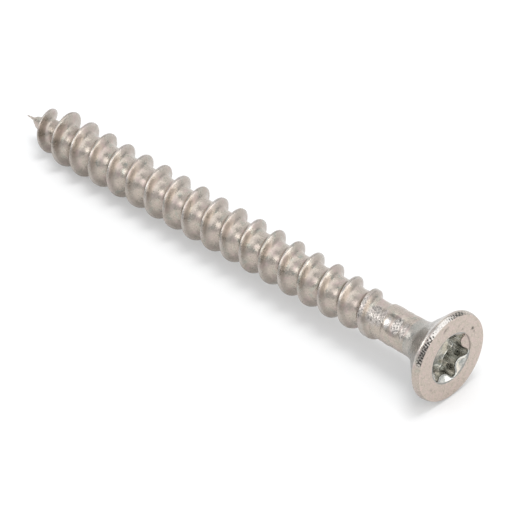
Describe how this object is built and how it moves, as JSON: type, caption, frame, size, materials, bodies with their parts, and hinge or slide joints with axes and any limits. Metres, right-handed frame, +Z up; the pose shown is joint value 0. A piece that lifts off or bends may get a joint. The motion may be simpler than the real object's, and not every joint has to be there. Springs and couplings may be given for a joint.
{
  "type": "wood screw",
  "caption": "Countersunk wood screw with a six-lobe drive, a plain neck, a coarse right-hand thread and a gimlet point.",
  "frame": {"origin": "on the floor, under the middle of the box of the screw as it lies", "axes": "+Z up, +X along the lying screw from its point to its head, +Y across it"},
  "size_m": [0.0496, 0.008, 0.0081],
  "materials": {
    "zinc_plated_steel": "satin zinc plating, clear passivated"
  },
  "bodies": {
    "root": {"screw": "zinc_plated_steel"}
  },
  "joints": []
}
